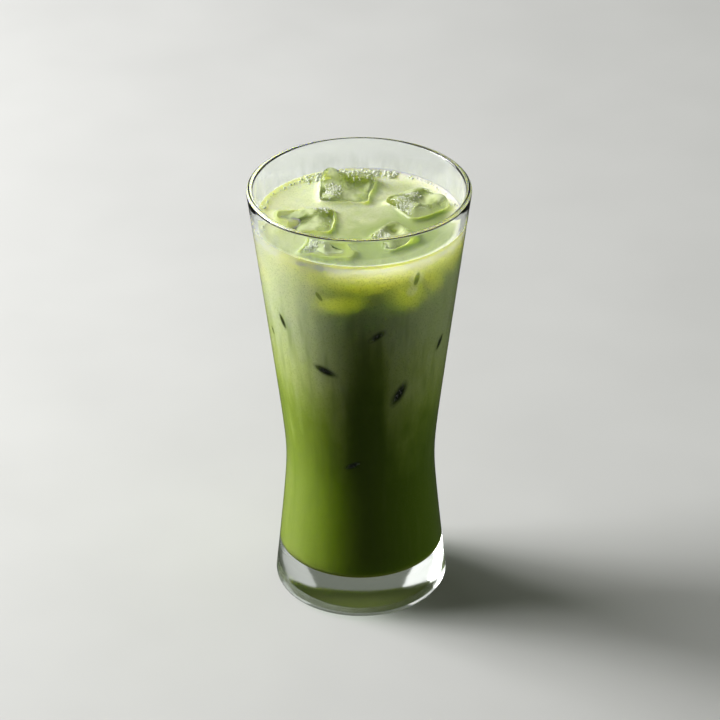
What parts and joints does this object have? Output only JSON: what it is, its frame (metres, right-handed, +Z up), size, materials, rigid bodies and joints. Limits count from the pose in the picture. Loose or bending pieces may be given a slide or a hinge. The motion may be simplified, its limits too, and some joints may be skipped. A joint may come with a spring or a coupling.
{
  "type": "iced matcha latte in a glass",
  "caption": "Iced matcha and milk drink in a tall clear glass with a waist, a flared rim and a heavy base, with ice at the top.",
  "frame": {"origin": "centre of the glass on the surface that it stands on", "axes": "+Z up along the glass's axis, -Y towards the side that is seen from the front"},
  "size_m": [0.078, 0.078, 0.16],
  "materials": {
    "glass": "clear soda-lime glass, polished",
    "matcha": null,
    "milky_matcha": null,
    "ice": "clear ice, wet and half melted"
  },
  "bodies": {
    "root": {"glass": "glass", "drink_matcha": "matcha", "drink_milky": "milky_matcha", "ice_back": "ice", "ice_left": "ice", "ice_right": "ice", "ice_front_right": "ice", "ice_front_left": "ice"}
  },
  "joints": []
}
